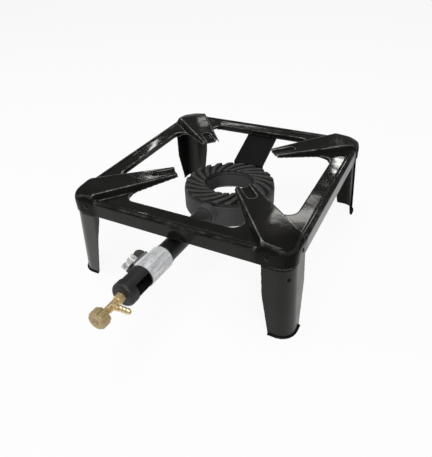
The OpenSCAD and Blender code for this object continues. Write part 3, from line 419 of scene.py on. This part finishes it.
def knob_brass():
    """Cast brass gone dull, with pink and green patches."""
    s = Shader("dull_brass_knob")
    patches = s.noise(75.0, 3.0, 0.55)
    grain = s.noise(500.0, 3.0)
    colour = s.mixed(
        s.spread(grain, 0.0, 0.4),
        s.ramp(patches, [
            (0.32, (0.33, 0.28, 0.12)),
            (0.5, (0.46, 0.35, 0.17)),
            (0.66, (0.46, 0.3, 0.2)),
        ]),
        s.ramp(patches, [(0.35, (0.56, 0.44, 0.25)), (0.65, (0.36, 0.25, 0.12))]),
    )
    rough = s.spread(patches, 0.34, 0.5)
    sand = s.bump(s.noise(500.0, 3.0, 0.5), 0.00006)
    return s.finish(colour, rough, sand, 0.35)


GLOSS = enamel(
    "black_enamel", (0.007, 0.0068, 0.0062), (0.0125, 0.012, 0.0112), 0.05, 0.11, 0.001)
LEG_GLOSS = enamel(
    "black_enamel_legs", (0.0065, 0.0065, 0.006), (0.011, 0.011, 0.0102), 0.22, 0.32, 0.0005, True)
RIVET = satin_paint(
    "black_rivet", (0.003, 0.0029, 0.0027), (0.0065, 0.0062, 0.006), 0.3, 0.45, 0.15)
STRAP = satin_paint(
    "satin_black_strap", (0.003, 0.0029, 0.0027), (0.0058, 0.0055, 0.0052), 0.4, 0.55, 0.12)
TUBE = tube_paint()
cap_low, cap_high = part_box("burner_cap")
cap_middle = ((cap_low + cap_high) / 2).dot(RING_UP)
RING = ring_iron("cast_iron_ring", cap_middle + 0.0022, cap_middle + 0.0056)
BOWL = bowl_iron((cap_low + cap_high) / 2)
HEAD = cast(
    "cast_iron_head", (0.007, 0.007, 0.0069), (0.0155, 0.0155, 0.0153), 1100.0, 0.00018, 0.45, 0.7)
STEEL = brushed(
    "dark_steel", (0.03, 0.03, 0.03), (0.09, 0.088, 0.085), 0.8, 0.3, 0.5, (8.0, 8.0, 1.0))
PALE = shutter_metal()
ZINC = wing_zinc()
BRASS = brushed(
    "dull_brass", (0.6, 0.44, 0.18), (0.9, 0.72, 0.41), 0.6, 0.2, 0.36, (5.0, 5.0, 5.0))
NOZZLE = brushed(
    "bright_brass", (0.72, 0.55, 0.27), (0.94, 0.82, 0.58), 0.65, 0.16, 0.3, (5.0, 5.0, 5.0))
KNOB = knob_brass()
RUBBER = cast(
    "black_rubber", (0.012, 0.012, 0.012), (0.02, 0.02, 0.02), 2500.0, 0.00002, 0.6, 0.8)

LEGS = ["leg_front_left", "leg_front_right", "leg_rear_right", "leg_rear_left"]
FINISH = {
    GLOSS: ["top_frame"],
    RIVET: ["leg_rivets", "rear_strap_rivets", "front_hanger_rivets"],
    LEG_GLOSS: LEGS,
    STRAP: ["rear_strap", "front_hanger"],
    TUBE: ["venturi_tube"],
    RING: ["burner_cap"],
    BOWL: ["burner_bowl"],
    HEAD: ["mixing_head"],
    STEEL: ["rear_strap_bolts", "front_hanger_screw", "cap_screws"],
    PALE: ["air_shutter"],
    ZINC: ["wing_screw"],
    BRASS: ["valve_body", "valve_locknut", "gas_jet", "gland_nut", "valve_spindle"],
    NOZZLE: ["hose_nozzle"],
    KNOB: ["control_knob", "knob_screw"],
    RUBBER: ["stem_seal"],
}
for material, names in FINISH.items():
    for name in names:
        nodes[name].data.materials.clear()
        nodes[name].data.materials.append(material)

# Pressed and cast pieces: voxel size in millimetres, smoothing passes, share of faces kept.
SOFTENED = {
    "top_frame": (0.75, 8, 0.4),
    **{leg: (0.7, 3, 0.5) for leg in LEGS},
    "burner_bowl": (0.8, 16, 0.4),
    "burner_cap": (0.5, 2, 0.4),
    "mixing_head": (0.32, 1, 0.3),
    "rear_strap": (0.6, 2, 0.4),
    "control_knob": (0.3, 4, 0.6),
}

# Rounded corners on top of the frame: from where to where the rounding grows,
# along the way to the corner and above the skirt's lower edge, and how often it is blurred.
CORNER_REACH = (0.181, 0.189)
CORNER_HEIGHT = (0.013, 0.019)
CORNER_PASSES = 50

# The softened head is drawn this far inside its solid, clear of the shutter that slides on it.
HEAD_CLEARANCE = 0.1 * MM


def round_corners():
    """Smooths the pressed corners on top of the frame more than the rest of it."""
    group = bpy.data.node_groups.new("round_corners", "GeometryNodeTree")
    group.interface.new_socket("Geometry", in_out="INPUT", socket_type="NodeSocketGeometry")
    group.interface.new_socket("Geometry", in_out="OUTPUT", socket_type="NodeSocketGeometry")
    add, link = group.nodes.new, group.links.new
    place = add("GeometryNodeInputPosition").outputs["Position"]
    shift = add("ShaderNodeVectorMath")
    shift.operation = "SUBTRACT"
    shift.inputs[1].default_value = CENTRE
    fold = add("ShaderNodeVectorMath")
    fold.operation = "ABSOLUTE"
    link(place, shift.inputs[0])
    link(shift.outputs[0], fold.inputs[0])
    weights = []
    for direction, (start, end) in (
        (DIAGONAL, CORNER_REACH),
        ((0.0, 0.0, 1.0), CORNER_HEIGHT),
    ):
        along = add("ShaderNodeVectorMath")
        along.operation = "DOT_PRODUCT"
        along.inputs[1].default_value = direction
        link(fold.outputs[0], along.inputs[0])
        share = add("ShaderNodeMapRange")
        share.inputs["From Min"].default_value = start
        share.inputs["From Max"].default_value = end
        link(along.outputs["Value"], share.inputs["Value"])
        weights.append(share.outputs["Result"])
    both = add("ShaderNodeMath")
    both.operation = "MULTIPLY"
    link(weights[0], both.inputs[0])
    link(weights[1], both.inputs[1])
    blur = add("GeometryNodeBlurAttribute")
    blur.data_type = "FLOAT_VECTOR"
    blur.inputs["Iterations"].default_value = CORNER_PASSES
    value = next(i for i in blur.inputs if i.name == "Value" and i.enabled)
    link(place, value)
    link(both.outputs[0], blur.inputs["Weight"])
    move = add("GeometryNodeSetPosition")
    link(add("NodeGroupInput").outputs[0], move.inputs["Geometry"])
    link(next(o for o in blur.outputs if o.enabled), move.inputs["Position"])
    link(move.outputs["Geometry"], add("NodeGroupOutput").inputs[0])
    return group


for name, (voxel, passes, share) in SOFTENED.items():
    piece = nodes[name]
    remesh = piece.modifiers.new("even_mesh", "REMESH")
    remesh.mode = "VOXEL"
    remesh.voxel_size = voxel * MM
    remesh.use_smooth_shade = True
    soften = piece.modifiers.new("soft_edges", "SMOOTH")
    soften.factor = 0.5
    soften.iterations = passes
    if name == "top_frame":
        corner = piece.modifiers.new("round_corners", "NODES")
        corner.node_group = round_corners()
    thin = piece.modifiers.new("fewer_faces", "DECIMATE")
    thin.ratio = share
    if name == "mixing_head":
        clear = piece.modifiers.new("clear_of_shutter", "DISPLACE")
        clear.mid_level = 0.0
        clear.strength = -HEAD_CLEARANCE

# Camera fitted to the photograph, from the frame's centre at its skirt's lower edge.
AZIMUTH, ELEVATION, ROLL = math.radians(29.63), math.radians(36.01), math.radians(-3.38)
CAMERA_PLACE = CENTRE + Vector((0.24153, -0.46314, 0.29463))
LENS, SENSOR = 35.488, 36.0
back = Vector((
    math.sin(AZIMUTH) * math.cos(ELEVATION),
    -math.cos(AZIMUTH) * math.cos(ELEVATION),
    math.sin(ELEVATION),
))
right = (-back).cross(Vector((0.0, 0.0, 1.0))).normalized()
up = right.cross(-back)
right, up = (
    right * math.cos(ROLL) + up * math.sin(ROLL),
    up * math.cos(ROLL) - right * math.sin(ROLL),
)
camera_data = bpy.data.cameras.new("camera")
camera_data.sensor_fit = "HORIZONTAL"
camera_data.sensor_width = SENSOR
camera_data.lens = LENS
camera_data.clip_start = 0.01
camera = bpy.data.objects.new("camera", camera_data)
scene.collection.objects.link(camera)
camera.matrix_world = Matrix.Translation(CAMERA_PLACE) @ Matrix((
    (right.x, up.x, back.x, 0.0),
    (right.y, up.y, back.y, 0.0),
    (right.z, up.z, back.z, 0.0),
    (0.0, 0.0, 0.0, 1.0),
))
scene.camera = camera


def softbox(name, place, target, width, height, power):
    """An area light, placed and aimed in metres from the frame's centre."""
    data = bpy.data.lights.new(name, "AREA")
    data.shape = "RECTANGLE"
    data.size = width
    data.size_y = height
    data.energy = power
    lamp = bpy.data.objects.new(name, data)
    scene.collection.objects.link(lamp)
    lamp.location = CENTRE + Vector(place)
    aim = Vector(target) - Vector(place)
    lamp.rotation_mode = "QUATERNION"
    lamp.rotation_quaternion = aim.to_track_quat("-Z", "Y")


def mirrored(point, direction, distance):
    """Where a window stands to be seen in the flat top at a point."""
    return Vector(point) + Vector(direction).normalized() * distance


MIDDLE = (0.0, 0.0, 0.0)
softbox("key", (0.9, -1.5, 1.7), MIDDLE, 1.3, 1.3, 28.0)
softbox("top", (0.0, -0.1, 1.9), MIDDLE, 1.0, 1.0, 18.0)
softbox("side", (-1.7, -0.7, 1.0), MIDDLE, 1.0, 1.0, 11.0)

# Small lights that are seen in the enamel: the point that shows one, the way to it,
# its width, height and power.
WINDOW_DISTANCE = 1.5
WINDOWS = [
    ((0.125, -0.072, 0.02), (-0.24, 0.80, 0.56), 0.22, 0.10, 0.23),
    ((0.139, 0.061, 0.02), (-0.17, 0.87, 0.46), 0.06, 0.05, 0.10),
    ((-0.082, -0.036, 0.027), (-0.57, 0.68, 0.46), 0.055, 0.03, 0.045),
    ((-0.105, 0.130, 0.027), (-0.47, 0.80, 0.37), 0.05, 0.03, 0.008),
    ((0.010, 0.139, 0.02), (-0.38, 0.83, 0.375), 0.34, 0.008, 0.06),
    ((-0.137, 0.030, 0.02), (-0.56, 0.725, 0.40), 0.02, 0.15, 0.06),
]
for i, (point, direction, width, height, power) in enumerate(WINDOWS):
    softbox(f"window_{i}", mirrored(point, direction, WINDOW_DISTANCE), point, width, height, power)

# World: grey at the horizon, dim overhead, each with the height at which it is reached.
HORIZON = (0.05, (0.3, 0.3, 0.3, 1.0))
OVERHEAD = (0.3, (0.06, 0.06, 0.06, 1.0))
world = bpy.data.worlds.new("studio")
scene.world = world
world.use_nodes = True
tree = world.node_tree
sky = tree.nodes["Background"]
outward = tree.nodes.new("ShaderNodeTexCoord")
split = tree.nodes.new("ShaderNodeSeparateXYZ")
fade = tree.nodes.new("ShaderNodeValToRGB")
for element, (at, grey) in zip(fade.color_ramp.elements, (HORIZON, OVERHEAD)):
    element.position = at
    element.color = grey
tree.links.new(outward.outputs["Generated"], split.inputs["Vector"])
tree.links.new(split.outputs["Z"], fade.inputs["Fac"])
tree.links.new(fade.outputs["Color"], sky.inputs["Color"])
sky.inputs["Strength"].default_value = 1.0

# Floor: white to the eye and in reflections, with a soft shadow left on it.
FLOOR_SIDE, FLOOR_HEIGHT = 14.0, -0.0002
FLOOR_WHITE = 0.92
bpy.ops.mesh.primitive_plane_add(size=FLOOR_SIDE, location=(0.0, 0.0, FLOOR_HEIGHT))
floor = bpy.context.object
floor.name = "floor"
paper = bpy.data.materials.new("white_floor")
paper.use_nodes = True
tree = paper.node_tree
matt = tree.nodes["Principled BSDF"]
matt.inputs["Base Color"].default_value = (0.82, 0.82, 0.82, 1.0)
matt.inputs["Roughness"].default_value = 0.9
glow = tree.nodes.new("ShaderNodeEmission")
path = tree.nodes.new("ShaderNodeLightPath")
seen = tree.nodes.new("ShaderNodeMath")
seen.operation = "MAXIMUM"
seen_all = tree.nodes.new("ShaderNodeMath")
seen_all.operation = "MAXIMUM"
white = tree.nodes.new("ShaderNodeMath")
white.operation = "MULTIPLY"
white.inputs[1].default_value = FLOOR_WHITE
blend = tree.nodes.new("ShaderNodeMixShader")
tree.links.new(path.outputs["Is Camera Ray"], seen.inputs[0])
tree.links.new(path.outputs["Is Glossy Ray"], seen.inputs[1])
tree.links.new(seen.outputs[0], seen_all.inputs[0])
tree.links.new(path.outputs["Is Transmission Ray"], seen_all.inputs[1])
tree.links.new(seen_all.outputs[0], white.inputs[0])
tree.links.new(white.outputs[0], blend.inputs["Fac"])
tree.links.new(matt.outputs["BSDF"], blend.inputs[1])
tree.links.new(glow.outputs["Emission"], blend.inputs[2])
tree.links.new(blend.outputs["Shader"], tree.nodes["Material Output"].inputs["Surface"])
floor.data.materials.append(paper)

scene.view_settings.view_transform = "Standard"
